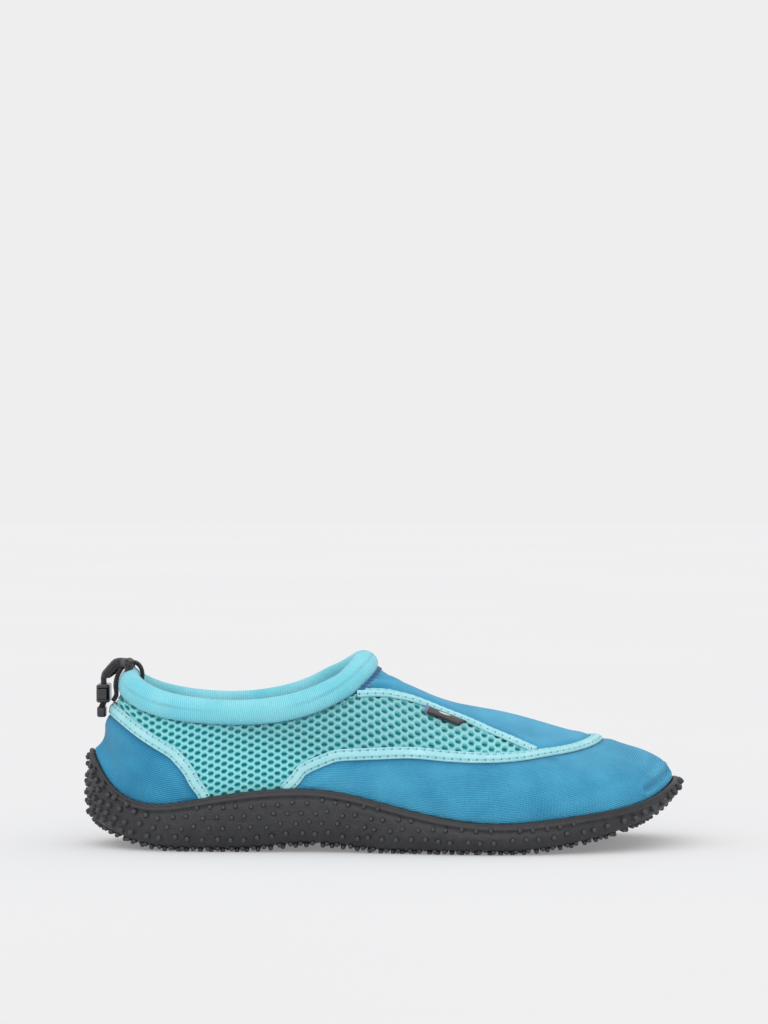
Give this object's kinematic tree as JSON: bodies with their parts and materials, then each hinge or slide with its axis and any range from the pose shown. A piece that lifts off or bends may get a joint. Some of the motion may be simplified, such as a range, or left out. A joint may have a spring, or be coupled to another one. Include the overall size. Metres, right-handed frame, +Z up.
{
  "type": "aqua shoe",
  "caption": "Slip-on water shoe for the right foot: ribbed neoprene and air-mesh upper, padded collar roll, studded rubber cup sole, heel drawcord with a sprung cord lock.",
  "frame": {"origin": "on the ground, under the centre of the shoe's outline", "axes": "+X towards the toe, +Y towards the inner (medial) side of the right foot, +Z up"},
  "size_m": [0.263, 0.0968, 0.0858],
  "materials": {
    "sole_rubber": "matte moulded rubber",
    "blue_neoprene": "fine ribbed knit on neoprene",
    "collar_neoprene": "soft ribbed knit over foam",
    "air_mesh": "open knit with oval holes",
    "lining_cloth": "smooth woven lining",
    "binding_tape": "satin woven tape, stitched along both edges",
    "black_webbing": "woven",
    "elastic_cord": "braided",
    "black_plastic": "semi-gloss moulded",
    "spring_steel": "drawn wire",
    "footbed_foam": "closed-cell foam with knit cover",
    "insole_board_fibre": "pressed fibre"
  },
  "bodies": {
    "shoe": {"outsole": "sole_rubber", "insole_board": "insole_board_fibre", "footbed": "footbed_foam", "toe_panel": "blue_neoprene", "tongue_panel": "blue_neoprene", "heel_panel": "blue_neoprene", "mesh_outer": "air_mesh", "mesh_inner": "air_mesh", "lining_outer": "lining_cloth", "lining_inner": "lining_cloth", "heel_binding": "binding_tape", "toe_binding": "binding_tape", "tongue_binding_outer": "binding_tape", "tongue_binding_inner": "binding_tape", "side_label": "black_webbing", "collar": "collar_neoprene", "drawcord": "elastic_cord", "heel_strap": "black_webbing", "cord_end": "black_plastic"},
    "lock": {"lock_body": "black_plastic", "lock_spring": "spring_steel"},
    "button": {"lock_button": "black_plastic"}
  },
  "joints": [
    {"name": "lock_slide", "type": "slide", "parent": "shoe", "child": "lock", "axis": [0, 0, 1], "range_m": [0, 0.0025]},
    {"name": "button_press", "type": "slide", "parent": "lock", "child": "button", "axis": [0, 1, 0], "range_m": [0, 0.002], "stiffness_N_per_m": 800, "springref_m": -0.001, "deforming": ["lock_spring"]}
  ]
}
